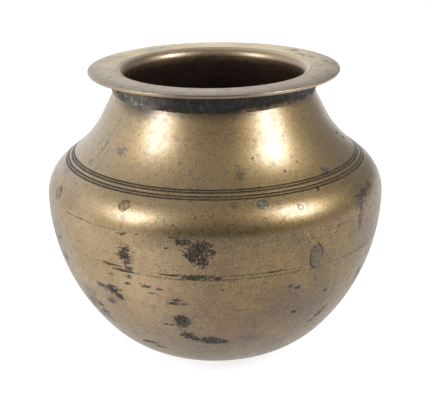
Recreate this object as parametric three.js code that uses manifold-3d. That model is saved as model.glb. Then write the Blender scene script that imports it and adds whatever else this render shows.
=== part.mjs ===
// Lota: a cast and turned brass water pot, joined from two shells at the belly,
// with a flat rim soldered on the neck. Millimetres, +Z up, the foot stands on z = 0.
import * as THREE from 'three';
import { mergeVertices } from 'three/addons/utils/BufferGeometryUtils.js';
import Module from 'manifold-3d';

const DEGREE = Math.PI / 180;
const UP = Math.PI / 2;

// Wall and joints
const WALL = 2.6;
const JOINT_GAP = 0.3;
const FACETS = 52;

// Body, from the foot up to the widest line
const BELLY_RADIUS = 80;
const LOWER_ARC = 94.4;
const BASE_ARC = 50;
const BASE_TURN = 41.7 * DEGREE;
const FOOT_RADIUS = 24;
const FOOT_DISH_RADIUS = 15;
const FOOT_DISH_DEPTH = 0.6;

// Shoulder and neck, from the widest line up to the rim
const SHOULDER_ARC = 19;
const SHOULDER_TURN = 51 * DEGREE;
const BAND_LENGTH = 8.6;
const NECK_ARC = 51;
const NECK_LEAN = 27 * DEGREE;
const CONE_LENGTH = 15.5;
const LIP_FLARE = 3.4;
const LIP_EDGE = 1.2;
const LIP_ROUND = 4.5;
const LIP_BREAK = 15 * DEGREE;
const THROAT_EXTRA = 1;

// Four grooves turned in the shoulder band, by their distance up the band
const GROOVE_STARTS = [2.8, 4.15, 6.2, 7.45];
const GROOVE_WIDTH = 0.7;
const GROOVE_DEPTH = 0.45;

// Flat rim
const RIM_WIDTH = 13.1;
const RIM_THICKNESS = 1.6;
const RIM_EDGE_ROUND = 0.6;

// Solder run in the corner under the rim
const SOLDER_REACH = 2.6;
const SOLDER_EDGE = 0.5;
const SOLDER_DROP = 3.4;
const SOLDER_FOOT = 0.5;
const SOLDER_FILL = 1.3;

// Belly joint, where a tongue on the upper shell sits inside the lower shell
const SEAM_BELOW_BELLY = 15.9;
const BRAZE_HEIGHT = 1.8;
const TONGUE_LENGTH = 7.2;

// Round pins that held the casting core, by angle from the front and by turn up the shoulder
const CORE_PINS = [
  { name: 'core_pin_left', azimuth: -65 * DEGREE, turn: 25 * DEGREE, radius: 2.9 },
  { name: 'core_pin_front_left', azimuth: -31 * DEGREE, turn: 42 * DEGREE, radius: 2.8 },
  { name: 'core_pin_front_right', azimuth: 15.5 * DEGREE, turn: 50 * DEGREE, radius: 2.1 },
];
const PIN_SIDES = 20;

// Oval repair plug that crosses the belly joint
const OVAL_AZIMUTH = 32.8 * DEGREE;
const OVAL_ABOVE_SEAM = 5.4;
const OVAL_HALF_WIDTH = 3;
const OVAL_HALF_HEIGHT = 5.6;
const OVAL_LEAN = 5 * DEGREE;
const OVAL_SIDES = 28;

const wasm = await Module();
wasm.setup();

// The point that lies a distance away from a start, in a direction above the horizontal.
function shifted(start, distance, direction) {
  return {
    r: start.r + distance * Math.cos(direction),
    z: start.z + distance * Math.sin(direction),
  };
}

// Centres and heights that several pieces share. The belly height follows from the arcs below it.
const baseCentreRadius = BELLY_RADIUS - LOWER_ARC + (LOWER_ARC - BASE_ARC) * Math.cos(BASE_TURN);
const footTurn = Math.acos((FOOT_RADIUS - baseCentreRadius) / BASE_ARC);
const bellyHeight = BASE_ARC * Math.sin(footTurn) + (LOWER_ARC - BASE_ARC) * Math.sin(BASE_TURN);
const lowerCentre = { r: BELLY_RADIUS - LOWER_ARC, z: bellyHeight };
const baseCentre = shifted(lowerCentre, LOWER_ARC - BASE_ARC, -BASE_TURN);
const shoulderCentre = { r: BELLY_RADIUS - SHOULDER_ARC, z: bellyHeight };
const bandStart = shifted(shoulderCentre, SHOULDER_ARC, SHOULDER_TURN);
const bandEnd = shifted(bandStart, BAND_LENGTH, SHOULDER_TURN + UP);
const neckCentre = shifted(bandEnd, NECK_ARC, SHOULDER_TURN);
const coneStart = shifted(neckCentre, -NECK_ARC, NECK_LEAN);
const coneEnd = shifted(coneStart, CONE_LENGTH, NECK_LEAN + UP);
const flareCentre = shifted(coneEnd, LIP_FLARE, NECK_LEAN);
const ledgeHeight = flareCentre.z + LIP_FLARE + LIP_EDGE;
const rimHeight = ledgeHeight + RIM_THICKNESS;
const throatRadius = coneEnd.r - WALL / Math.cos(NECK_LEAN) - THROAT_EXTRA;
const lipCentre = { r: throatRadius + LIP_ROUND, z: rimHeight - LIP_ROUND * Math.cos(LIP_BREAK) };
const lipRadius = lipCentre.r - LIP_ROUND * Math.sin(LIP_BREAK);
const rimBore = lipRadius + JOINT_GAP;
const rimRadius = rimBore + RIM_WIDTH;
const seamBottom = bellyHeight - SEAM_BELOW_BELLY;
const seamTop = seamBottom + BRAZE_HEIGHT;
const tongueBottom = seamBottom - TONGUE_LENGTH;

// The joint splits the wall in two skins with a gap between them, at these depths.
const SKIRT_DEPTH = (WALL - JOINT_GAP) / 2;
const TONGUE_DEPTH = (WALL + JOINT_GAP) / 2;

// Points along an arc, from one angle to another as seen from its centre.
function arc(centre, radius, from, to, steps) {
  const points = [];
  for (let i = 0; i <= steps; i += 1) {
    points.push(shifted(centre, radius, from + ((to - from) * i) / steps));
  }
  return points;
}

// Points along a curve that leaves one point and reaches another, drawn towards a third.
function fillet(from, towards, to, steps) {
  const points = [];
  for (let i = 0; i <= steps; i += 1) {
    const t = i / steps;
    const [a, b, c] = [(1 - t) ** 2, 2 * t * (1 - t), t ** 2];
    points.push({
      r: a * from.r + b * towards.r + c * to.r,
      z: a * from.z + b * towards.z + c * to.z,
    });
  }
  return points;
}

// Angle on the lower arc of a height; a skin deeper in the wall has a smaller arc.
function lowerAngle(z, depth) {
  return Math.asin((z - bellyHeight) / (LOWER_ARC - depth));
}

// Part of the lower arc between two heights, on a skin at some depth in the wall.
function lowerSkin(fromZ, toZ, depth, steps) {
  const angles = [lowerAngle(fromZ, depth), lowerAngle(toZ, depth)];
  return arc(lowerCentre, LOWER_ARC - depth, ...angles, steps);
}

// V-shaped notches cut square to the shoulder band.
function grooves() {
  return GROOVE_STARTS.flatMap((start) => {
    const middle = shifted(bandStart, start + GROOVE_WIDTH / 2, SHOULDER_TURN + UP);
    return [
      shifted(bandStart, start, SHOULDER_TURN + UP),
      shifted(middle, -GROOVE_DEPTH, SHOULDER_TURN),
      shifted(bandStart, start + GROOVE_WIDTH, SHOULDER_TURN + UP),
    ];
  });
}

// Skin from the widest line up to the top of the neck, at some depth in the wall.
function upperSkin(depth, notches, shoulderSteps, neckSteps) {
  const neckFrom = SHOULDER_TURN + Math.PI;
  const neckTo = NECK_LEAN + Math.PI;
  return [
    ...arc(shoulderCentre, SHOULDER_ARC - depth, 0, SHOULDER_TURN, shoulderSteps),
    ...notches,
    ...arc(neckCentre, NECK_ARC + depth, neckFrom, neckTo, neckSteps),
  ];
}

// Turns an outline about +Z. It runs up the outer side and down the inner side.
function turned(points) {
  const profile = points.map((p) => new THREE.Vector2(p.r, p.z));
  if (profile[0].x > 0) {
    profile.push(profile[0].clone());
  }
  return new THREE.LatheGeometry(profile, FACETS).rotateX(UP);
}

// Geometry to a solid that can be cut, without the slivers that meet on the axis.
function toSolid(geometry) {
  const bare = geometry.clone();
  bare.deleteAttribute('normal');
  bare.deleteAttribute('uv');
  const merged = mergeVertices(bare, 1e-4);
  const corners = merged.index.array;
  const triangles = [];
  for (let i = 0; i < corners.length; i += 3) {
    const [a, b, c] = corners.slice(i, i + 3);
    if (a !== b && b !== c && c !== a) {
      triangles.push(a, b, c);
    }
  }
  return new wasm.Manifold(new wasm.Mesh({
    numProp: 3,
    vertProperties: new Float32Array(merged.attributes.position.array),
    triVerts: new Uint32Array(triangles),
  }));
}

// Cut solid back to a geometry with flat facets.
function toGeometry(solid) {
  const mesh = solid.getMesh();
  const geometry = new THREE.BufferGeometry();
  geometry.setAttribute('position', new THREE.BufferAttribute(mesh.vertProperties, 3));
  geometry.setIndex(new THREE.BufferAttribute(mesh.triVerts, 1));
  return geometry;
}

// An oval bar that stands square to the wall, facing out at an angle above the horizontal.
function plugBar(place, out, azimuth, halfWidth, halfHeight, lean, sides) {
  const bar = new THREE.CylinderGeometry(1, 1, 6 * WALL, sides);
  bar.scale(halfWidth, 1, halfHeight);
  bar.rotateY(lean);
  bar.rotateX(-out);
  bar.translate(0, -place.r, place.z);
  bar.rotateZ(azimuth);
  return toSolid(bar);
}

// Bar of a core pin, or with a gap added the hole that it sits in.
function pinBar(pin, gap) {
  const place = shifted(shoulderCentre, SHOULDER_ARC, pin.turn);
  const radius = pin.radius + gap;
  return plugBar(place, pin.turn, pin.azimuth, radius, radius, 0, PIN_SIDES);
}

// Bar of the oval repair, or with a gap added the hole that it sits in.
function ovalBar(gap) {
  const out = lowerAngle(seamBottom + OVAL_ABOVE_SEAM, 0);
  const place = shifted(lowerCentre, LOWER_ARC, out);
  const [width, height] = [OVAL_HALF_WIDTH + gap, OVAL_HALF_HEIGHT + gap];
  return plugBar(place, out, OVAL_AZIMUTH, width, height, OVAL_LEAN, OVAL_SIDES);
}

// The whole wall around the belly joint and the shoulder, which gives the plugs its curve.
function wholeWall() {
  const outer = [
    ...lowerSkin(tongueBottom, bellyHeight, 0, 7).slice(0, -1),
    ...upperSkin(0, [], 8, 6),
  ];
  const inner = [
    ...upperSkin(WALL, [], 5, 4).reverse(),
    ...lowerSkin(bellyHeight, tongueBottom, WALL, 5).slice(1),
  ];
  return toSolid(turned([...outer, ...inner]));
}

// Lower shell: foot, round base and the outer half of the belly joint.
function lowerBowl() {
  const foot = [
    { r: 0, z: FOOT_DISH_DEPTH },
    { r: FOOT_DISH_RADIUS - FOOT_DISH_DEPTH, z: FOOT_DISH_DEPTH },
    { r: FOOT_DISH_RADIUS, z: 0 },
  ];
  const outer = [
    ...arc(baseCentre, BASE_ARC, -footTurn, -BASE_TURN, 6).slice(0, -1),
    ...arc(lowerCentre, LOWER_ARC, -BASE_TURN, lowerAngle(seamBottom, 0), 9),
  ];
  const socket = lowerSkin(seamBottom, tongueBottom, SKIRT_DEPTH, 2);
  const wallFrom = lowerAngle(tongueBottom, WALL);
  const inner = [
    ...arc(lowerCentre, LOWER_ARC - WALL, wallFrom, -BASE_TURN, 7).slice(0, -1),
    ...arc(baseCentre, BASE_ARC - WALL, -BASE_TURN, -UP, 6),
    { r: 0, z: baseCentre.z - BASE_ARC + WALL },
  ];
  const bowl = toSolid(turned([...foot, ...outer, ...socket, ...inner]));
  return toGeometry(bowl.subtract(ovalBar(JOINT_GAP)));
}

// Upper shell: tongue, belly, grooved shoulder, neck and the flared lip that carries the rim.
// The rounded inner edge of the lip starts with a slight slope where it meets the flat rim.
function upperShell() {
  const outer = [
    ...lowerSkin(seamTop, bellyHeight, 0, 4).slice(0, -1),
    ...upperSkin(0, grooves(), 7, 6),
  ];
  const lip = [
    ...arc(flareCentre, LIP_FLARE, NECK_LEAN + Math.PI, UP, 4),
    { r: flareCentre.r, z: ledgeHeight },
    { r: lipRadius, z: ledgeHeight },
    ...arc(lipCentre, LIP_ROUND, UP + LIP_BREAK, Math.PI, 6),
    { r: throatRadius, z: coneEnd.z },
  ];
  const tongueTip = tongueBottom + JOINT_GAP;
  const inner = [
    ...upperSkin(WALL, [], 4, 4).reverse(),
    ...lowerSkin(bellyHeight, tongueTip, WALL, 5).slice(1),
    ...lowerSkin(tongueTip, seamTop, TONGUE_DEPTH, 3),
  ];
  let shell = toSolid(turned([...outer, ...lip, ...inner])).subtract(ovalBar(JOINT_GAP));
  for (const pin of CORE_PINS) {
    shell = shell.subtract(pinBar(pin, JOINT_GAP));
  }
  return toGeometry(shell);
}

// Flat ring with a rounded edge that drops over the lip and rests on its ledge.
function rimFlange() {
  const edge = rimRadius - RIM_EDGE_ROUND;
  const lower = { r: edge, z: ledgeHeight + RIM_EDGE_ROUND };
  const upper = { r: edge, z: rimHeight - RIM_EDGE_ROUND };
  return turned([
    { r: rimBore, z: ledgeHeight },
    ...arc(lower, RIM_EDGE_ROUND, -UP, 0, 3),
    ...arc(upper, RIM_EDGE_ROUND, 0, UP, 3),
    { r: rimBore, z: rimHeight },
  ]);
}

// Solder that fills the corner between the neck and the underside of the rim.
function rimSolder() {
  const foot = shifted(coneEnd, -SOLDER_DROP, NECK_LEAN + UP);
  const footIn = shifted(foot, JOINT_GAP, NECK_LEAN);
  const footOut = shifted(footIn, SOLDER_FOOT, NECK_LEAN);
  const corner = shifted(coneEnd, JOINT_GAP + SOLDER_FILL, NECK_LEAN);
  const reach = flareCentre.r + SOLDER_REACH;
  const tip = { r: reach, z: ledgeHeight - SOLDER_EDGE };
  const inside = LIP_FLARE - JOINT_GAP;
  return turned([
    footIn,
    ...fillet(footOut, corner, tip, 4),
    { r: reach, z: ledgeHeight },
    { r: flareCentre.r + JOINT_GAP, z: ledgeHeight },
    { r: flareCentre.r + JOINT_GAP, z: flareCentre.z + inside },
    ...arc(flareCentre, inside, UP, NECK_LEAN + Math.PI, 3),
  ]);
}

// Brazing metal that fills the belly joint, flush with the outside.
function bellyBraze() {
  const ring = turned([
    ...lowerSkin(seamBottom, seamTop, 0, 1),
    ...lowerSkin(seamTop, seamBottom, SKIRT_DEPTH, 1),
  ]);
  return toGeometry(toSolid(ring).subtract(ovalBar(JOINT_GAP)));
}

const oldBrass = new THREE.MeshStandardMaterial({ color: 0x7a6240, roughness: 0.38, metalness: 1 });
const paleBrass = new THREE.MeshStandardMaterial({ color: 0x948a74, roughness: 0.42, metalness: 1 });
const greySolder = new THREE.MeshStandardMaterial({ color: 0x4b4a48, roughness: 0.65, metalness: 1 });
const seamBrass = new THREE.MeshStandardMaterial({ color: 0x6b5a44, roughness: 0.5, metalness: 1 });
const plugBrass = new THREE.MeshStandardMaterial({ color: 0x6a6a5c, roughness: 0.45, metalness: 1 });

const lota = new THREE.Group();
lota.name = 'lota';

function add(name, geometry, material) {
  const mesh = new THREE.Mesh(geometry, material);
  mesh.name = name;
  lota.add(mesh);
}

add('lower_bowl', lowerBowl(), oldBrass);
add('upper_shell', upperShell(), oldBrass);
add('rim_flange', rimFlange(), paleBrass);
add('rim_solder', rimSolder(), greySolder);
add('belly_braze', bellyBraze(), seamBrass);
const wall = wholeWall();
for (const pin of CORE_PINS) {
  add(pin.name, toGeometry(wall.intersect(pinBar(pin, 0))), plugBrass);
}
add('oval_plug', toGeometry(wall.intersect(ovalBar(0))), plugBrass);

export default lota;
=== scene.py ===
"""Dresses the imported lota: a turned brass pot with old stains, on a pale studio floor."""
import math
import random

import bmesh
import bpy
from mathutils import Euler, Matrix, Vector, noise


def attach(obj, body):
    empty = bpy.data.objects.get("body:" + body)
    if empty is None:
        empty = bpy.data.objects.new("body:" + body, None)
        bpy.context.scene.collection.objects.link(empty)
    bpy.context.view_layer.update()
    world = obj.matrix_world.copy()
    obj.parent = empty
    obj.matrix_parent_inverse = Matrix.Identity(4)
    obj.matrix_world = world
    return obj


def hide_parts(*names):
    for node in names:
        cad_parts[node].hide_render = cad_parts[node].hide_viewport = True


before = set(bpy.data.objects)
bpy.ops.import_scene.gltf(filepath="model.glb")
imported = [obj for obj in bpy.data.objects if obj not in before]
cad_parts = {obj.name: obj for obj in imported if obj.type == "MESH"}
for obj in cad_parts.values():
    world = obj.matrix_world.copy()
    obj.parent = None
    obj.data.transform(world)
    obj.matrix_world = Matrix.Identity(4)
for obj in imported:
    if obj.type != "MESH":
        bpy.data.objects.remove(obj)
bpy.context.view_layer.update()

MM = 0.001
DEGREE = math.pi / 180
UP = math.pi / 2

# Sizes of the pot in millimetres and radians, as the solids have them
WALL = 2.6
JOINT_GAP = 0.3
BELLY_RADIUS = 80
LOWER_ARC = 94.4
BASE_ARC = 50
BASE_TURN = 41.7 * DEGREE
FOOT_RADIUS = 24
FOOT_DISH_RADIUS = 15
FOOT_DISH_DEPTH = 0.6
SHOULDER_ARC = 19
SHOULDER_TURN = 51 * DEGREE
BAND_LENGTH = 8.6
NECK_ARC = 51
NECK_LEAN = 27 * DEGREE
CONE_LENGTH = 15.5
LIP_FLARE = 3.4
LIP_EDGE = 1.2
LIP_ROUND = 4.5
LIP_BREAK = 15 * DEGREE
THROAT_EXTRA = 1
GROOVE_STARTS = (2.8, 4.15, 6.2, 7.45)
GROOVE_WIDTH = 0.7
GROOVE_DEPTH = 0.45
RIM_WIDTH = 13.1
RIM_THICKNESS = 1.6
RIM_EDGE_ROUND = 0.6
SOLDER_REACH = 2.6
SOLDER_EDGE = 0.5
SOLDER_DROP = 3.4
SOLDER_FOOT = 0.5
SOLDER_FILL = 1.3
SEAM_BELOW_BELLY = 15.9
BRAZE_HEIGHT = 1.8
TONGUE_LENGTH = 7.2
CORE_PINS = (
    ("core_pin_left", -65, 25, 2.9),
    ("core_pin_front_left", -31, 42, 2.8),
    ("core_pin_front_right", 15.5, 50, 2.1),
)
OVAL_AZIMUTH = 32.8
OVAL_ABOVE_SEAM = 5.4
OVAL_HALF_WIDTH = 3
OVAL_HALF_HEIGHT = 5.6
OVAL_LEAN = 5 * DEGREE

# Camera, from the photograph's perspective
IMAGE_WIDTH = 432
FOCAL_PIXELS = 1023.3
SENSOR_WIDTH = 36
CAMERA_DISTANCE = 0.5
CAMERA_HEIGHT_ANGLE = 19.65 * DEGREE
CAMERA_TARGET = Vector((0.0003, 0, 0.0702))
CAMERA_ROLL = -0.0127
CAMERA_NEAR = 0.01

# Steps around the turned meshes and the plugs
SEGMENTS = 240
PLUG_SIDES = 48

# Colours of the metals, crusts and stains, and of painted shade, sheen and reflection
BRASS_HIGH = (0.3, 0.197, 0.064)
BRASS_LOW = (0.128, 0.083, 0.038)
BRASS_WORN = (0.4, 0.285, 0.16)
BRASS_OLIVE = (0.24, 0.16, 0.05)
BRASS_BROWN = (0.1, 0.064, 0.036)
# Olive of the painted shade across the front of the belly
SHADE_BELT_OLIVE = (0.105, 0.071, 0.026)
BRASS_RED = (0.2, 0.1, 0.055)
GRIT_BROWN = (0.07, 0.043, 0.024)
# Brown of stains, and of the fade under the rim that is partly painted shade
STAIN_AND_SHADE_BROWN = (0.055, 0.035, 0.024)
STAIN_BLACK = (0.04, 0.029, 0.02)
STAIN_GREY = (0.12, 0.108, 0.08)
STAIN_PURPLE = (0.06, 0.034, 0.03)
BRASS_PALE = (0.42, 0.31, 0.19)
FLECK_GREEN = (0.07, 0.076, 0.062)
INSIDE_DULL = (0.22, 0.145, 0.13)
LIP_BRIGHT = (0.28, 0.2, 0.11)
# Pale top of the lip, a painted sheen
LIP_TOP_SHEEN = (0.66, 0.52, 0.34)
# The rim's front colour is painted shade, and its back colour a painted reflection
RIM_FRONT_SHADE = (0.42, 0.335, 0.245)
RIM_BACK_SHEEN = (0.96, 0.8, 0.54)
# Brown of the rim's mottle, and of its painted shade near the outer edge
RIM_BROWN_AND_SHADE = (0.15, 0.11, 0.075)
RIM_SPECK = (0.15, 0.165, 0.15)
SOLDER_DARK = (0.008, 0.0075, 0.008)
SOLDER_GREY = (0.046, 0.045, 0.042)
SOLDER_BROWN = (0.165, 0.138, 0.112)
SOLDER_SPECK = (0.3, 0.31, 0.29)
SOLDER_BELOW = (0.19, 0.145, 0.09)
PLUG_OLIVE = (0.14, 0.1, 0.04)
PLUG_OLIVE_DARK = (0.06, 0.052, 0.035)
PIN_BRASS = (0.24, 0.17, 0.08)
PIN_GREY = (0.24, 0.215, 0.16)
PIN_DARK = (0.045, 0.045, 0.035)

# Finish of the wall: bare metal under a thin hard patina
WALL_ROUGH = 0.44
COAT_ROUGH = 0.25
COAT_HIGH = 0.9
COAT_LOW = 0.3
COAT_RISE = (76, 100)
COAT_IOR = 1.9
MOTTLE = 0.75
GRIT_DARK = 0.9
GRIT_PALE = 0.32

# Small pits: random cells for each metre, radius in metres, and the share of cells with a pit
WALL_PITS = (380, 0.00042, 0.34)
RIM_PITS = (420, 0.00035, 0.3)
DOT_SOFTNESS = 0.06

# How strongly each kind of stain and dirt, and each painted shade and sheen, covers the metal
RED_COVER = 0.5
BROWN_COVER = 0.7
GREEN_COVER = 0.8
# The fade under the rim is partly stain and partly painted shade
CRUST_STAIN_AND_SHADE_COVER = 0.75
SCRATCH_COVER = 0.75
PURPLE_COVER = 0.92
LINE_COVER = 0.75
RING_COVER = 0.5
OUTLINE_COVER = 0.85
GROOVE_COVER = 0.99
WALL_PIT_COVER = 0.85
CRUST_COVER = 0.96
BLACK_COVER = 0.96
INSIDE_COVER = 0.85
LIP_COVER = 0.9
# Painted sheen on the lip's top
LIP_TOP_SHEEN_COVER = 0.85
RIM_SHADE_COVER = 0.32
RIM_SPECK_COVER = 0.8
RIM_PIT_COVER = 0.7
# Painted shade near the rim's outer edge, and on that edge at the front
RIM_OUTWARD_SHADE_COVER = 0.5
RIM_EDGE_SHADE_COVER = 0.7

# Heights between which the metal takes its lower tone and then a browner one, going down, and how
# far noise moves the first
LOWER_TONE = (106, 74)
BROWN_TONE = (66, 42)
TONE_STRAY = 12

# Middle of the worn pale side, and of a browner belt of painted shade across the belly's front
WORN_ANGLE = -38
SHADE_BELT_ANGLE = 8
SHADE_BELT_HEIGHT = 81.5

# Dirt in each groove, as a half height and a soft edge
GROOVE_DIRT_HALF = 0.25
GROOVE_DIRT_SOFT = 0.14

# Height of the lower edge of the crust on the neck, by angle from the front in degrees
CRUST_EDGES = (
    (-120, 134.0),
    (-84, 134.0),
    (-72, 133.0),
    (-66, 131.0),
    (-60, 127.4),
    (-51, 125.6),
    (-42, 125.0),
    (-35, 125.2),
    (-31, 126.8),
    (-27, 128.8),
    (-20, 127.6),
    (0, 127.2),
    (8, 127.6),
    (15, 128.8),
    (24, 129.2),
    (33, 129.4),
    (41, 129.8),
    (49, 129.2),
    (60, 128.4),
    (72, 128.8),
    (84, 131.0),
    (120, 132.5),
)
CRUST_LOWEST = 120
CRUST_SPAN = 10
CRUST_RAGGED = 5
# How far down the brown fade under the crust reaches, partly stain and partly painted shade
STAIN_AND_SHADE_DEPTH = 5

# The crust is only this far out from the throat, which keeps it off the lip
CRUST_OFF_THROAT = (3.4, 3.8)

# Angles of the thin brown part of the crust and of the pale specks on the solder
CRUST_LEFT = -42
SOLDER_SPECKS_ANGLE = -48

# Black marks, broad shades and grey specks on the rim. Each is an angle from the front, a radius,
# a half width around the rim and a half width across it, and for some a lean.
RIM_MARKS = (
    (-110.4, 58.2, 0.7, 0.9),
    (-65.1, 51.6, 0.5, 1.6, 0.6),
    (-65.1, 51.6, 1.0, 0.4),
    (-158.9, 57.0, 1.0, 0.6),
)
RIM_SHADES = (
    (-152, 52, 26, 9),
    (-118, 52, 12, 7),
)
RIM_SPECKS = (
    (130, 52.5, 4.6, 2.4),
    (119, 48.6, 5.0, 2.2),
    (99.6, 53.6, 5.0, 2.4),
    (91, 55.6, 3.6, 1.8),
    (112, 51.0, 4.0, 2.0),
    (-150, 52.0, 4.0, 1.0),
)

# Softboxes, surroundings and floor
LEFT_AZIMUTH = -61
LEFT_ELEVATION = 29
RIGHT_AZIMUTH = 63
RIGHT_ELEVATION = 37
LAMP_DISTANCE = 1.2
LEFT_WIDTH = 0.43
RIGHT_WIDTH = 0.42
LAMP_HEIGHT = 0.52
LEFT_POWER = 6.9
RIGHT_POWER = 10
WORLD_FRONT = 0.03
WORLD_CEILING = 0.54
WORLD_BACK = 1.0
WORLD_LEFT = 1.2
WORLD_RIGHT = 0.31
FLOOR_GLOW = 0.82
FLOOR_SIZE = 12
FLOOR_GREY = (0.5, 0.5, 0.5)
FLOOR_ROUGH = 0.9
WHITE = (1, 1, 1)

# Where the surroundings fade, as parts of a direction: upward at the front and at the back, from
# the front to the back, and from the left to the right
CEILING_FADE_FRONT = (0.05, 0.88)
CEILING_FADE_BACK = (0.45, 0.9)
DEPTH_FADE = (-0.7, 0.3)
SIDE_FADE = (-0.6, 0.7)

# Hairline notch along each edge of the brazed joint
SEAM_NOTCH_WIDTH = 0.15
SEAM_NOTCH_DEPTH = 0.08

# How much closer the dressed rim and solder sit to the shell than the solids
RIM_CLOSER = 0.26
SOLDER_CLOSER = 0.22
SOLDER_TRIM = 0.5

# Worn inner corner of the rim, and how far the bright lip reaches down the throat
RIM_BORE_ROUND = 0.25
LIP_FADE = 4

# Slow dips of the wall and of the rim, and the lumps of the solder, all inward
WALL_SWAY = 0.15
RIM_SWAY = 0.1
SWAY_SCALE = 0.022
SOLDER_LUMPS = 0.9
SOLDER_LUMP_SCALE = 0.35

# Section of a plug from its middle outward: a share of its half width, and how far its skin stands
# from the wall
PLUG_SECTION = (
    (0.0, 0.02),
    (0.3, 0.03),
    (0.6, 0.05),
    (0.8, 0.07),
    (0.92, 0.06),
    (0.98, -0.02),
    (1.0, -0.3),
    (1.0, -WALL),
)


def shifted(start, distance, direction):
    """The point a distance away from a start, in a direction above the horizontal."""
    return (start[0] + distance * math.cos(direction), start[1] + distance * math.sin(direction))


def arc(centre, radius, start, end, steps):
    """Points along an arc, from one angle to another as seen from its centre."""
    return [shifted(centre, radius, start + (end - start) * i / steps) for i in range(steps + 1)]


def fillet(start, towards, end, steps):
    """Points along a curve from start to end, drawn towards a third point."""
    points = []
    for i in range(steps + 1):
        t = i / steps
        a, b, c = (1 - t) ** 2, 2 * t * (1 - t), t ** 2
        points.append(tuple(a * p + b * q + c * r for p, q, r in zip(start, towards, end)))
    return points


base_centre_radius = BELLY_RADIUS - LOWER_ARC + (LOWER_ARC - BASE_ARC) * math.cos(BASE_TURN)
foot_turn = math.acos((FOOT_RADIUS - base_centre_radius) / BASE_ARC)
belly_height = BASE_ARC * math.sin(foot_turn) + (LOWER_ARC - BASE_ARC) * math.sin(BASE_TURN)
lower_centre = (BELLY_RADIUS - LOWER_ARC, belly_height)
base_centre = shifted(lower_centre, LOWER_ARC - BASE_ARC, -BASE_TURN)
shoulder_centre = (BELLY_RADIUS - SHOULDER_ARC, belly_height)
band_start = shifted(shoulder_centre, SHOULDER_ARC, SHOULDER_TURN)
band_end = shifted(band_start, BAND_LENGTH, SHOULDER_TURN + UP)
neck_centre = shifted(band_end, NECK_ARC, SHOULDER_TURN)
cone_start = shifted(neck_centre, -NECK_ARC, NECK_LEAN)
cone_end = shifted(cone_start, CONE_LENGTH, NECK_LEAN + UP)
flare_centre = shifted(cone_end, LIP_FLARE, NECK_LEAN)
ledge_height = flare_centre[1] + LIP_FLARE + LIP_EDGE
rim_height = ledge_height + RIM_THICKNESS
throat_radius = cone_end[0] - WALL / math.cos(NECK_LEAN) - THROAT_EXTRA
lip_centre = (throat_radius + LIP_ROUND, rim_height - LIP_ROUND * math.cos(LIP_BREAK))
lip_radius = lip_centre[0] - LIP_ROUND * math.sin(LIP_BREAK)
rim_bore = lip_radius + JOINT_GAP
rim_radius = rim_bore + RIM_WIDTH
seam_bottom = belly_height - SEAM_BELOW_BELLY
seam_top = seam_bottom + BRAZE_HEIGHT
tongue_bottom = seam_bottom - TONGUE_LENGTH
SKIRT_DEPTH = (WALL - JOINT_GAP) / 2
TONGUE_DEPTH = (WALL + JOINT_GAP) / 2


def lower_angle(z, depth):
    """Angle on the lower arc of a height, on a skin at some depth in the wall."""
    return math.asin((z - belly_height) / (LOWER_ARC - depth))


def lower_skin(start_z, end_z, depth, steps):
    """Part of the lower arc between two heights."""
    start, end = lower_angle(start_z, depth), lower_angle(end_z, depth)
    return arc(lower_centre, LOWER_ARC - depth, start, end, steps)


def grooves():
    """Turned V-shaped notches with a small round at the bottom."""
    points = []
    for start in GROOVE_STARTS:
        middle = shifted(band_start, start + GROOVE_WIDTH / 2, SHOULDER_TURN + UP)
        floor = shifted(middle, -GROOVE_DEPTH, SHOULDER_TURN)
        points.append(shifted(band_start, start, SHOULDER_TURN + UP))
        points.append(shifted(floor, -GROOVE_WIDTH / 8, SHOULDER_TURN + UP))
        points.append(shifted(floor, GROOVE_WIDTH / 8, SHOULDER_TURN + UP))
        points.append(shifted(band_start, start + GROOVE_WIDTH, SHOULDER_TURN + UP))
    return points


def upper_skin(depth, notches, shoulder_steps, neck_steps):
    """Skin from the widest line up to the start of the cone."""
    shoulder = arc(shoulder_centre, SHOULDER_ARC - depth, 0, SHOULDER_TURN, shoulder_steps)
    neck_from, neck_to = SHOULDER_TURN + math.pi, NECK_LEAN + math.pi
    neck = arc(neck_centre, NECK_ARC + depth, neck_from, neck_to, neck_steps)
    return shoulder + notches + neck


def turned(name, points, sway=0.0, rough=0.0, rough_scale=1.0, edge_angle=40):
    """A turned mesh. Sway is a slow dip of the skin and rough a fine one, both inward."""
    mesh = bmesh.new()
    rings = []
    for i in range(SEGMENTS):
        angle = 2 * math.pi * i / SEGMENTS
        side, front = math.sin(angle), -math.cos(angle)
        ring = []
        for r, z in points:
            dip = 0.0
            if r > 0 and (sway or rough):
                place = Vector((r * side, r * front, z))
                slow = 0.5 + 0.5 * noise.noise(place * SWAY_SCALE)
                fine = 0.5 + 0.5 * noise.fractal(place * rough_scale, 0.8, 2.0, 4)
                dip = sway * slow + rough * max(0.0, min(1.0, fine))
            ring.append(mesh.verts.new(((r - dip) * side * MM, (r - dip) * front * MM, z * MM)))
        rings.append(ring)
    count = len(points)
    closed = points[0][0] > 0
    for i in range(SEGMENTS):
        here, after = rings[i], rings[(i + 1) % SEGMENTS]
        for j in range(count if closed else count - 1):
            k = (j + 1) % count
            mesh.faces.new((here[j], after[j], after[k], here[k]))
    bmesh.ops.remove_doubles(mesh, verts=mesh.verts, dist=1e-7)
    bmesh.ops.recalc_face_normals(mesh, faces=mesh.faces)
    return finished(name, mesh, edge_angle)


def finished(name, mesh, edge_angle):
    """Object with smooth faces and sharp edges from a mesh that is done."""
    data = bpy.data.meshes.new(name)
    mesh.to_mesh(data)
    mesh.free()
    for polygon in data.polygons:
        polygon.use_smooth = True
    data.set_sharp_from_angle(angle=edge_angle * DEGREE)
    made = bpy.data.objects.new(name, data)
    bpy.context.scene.collection.objects.link(made)
    return made


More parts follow.
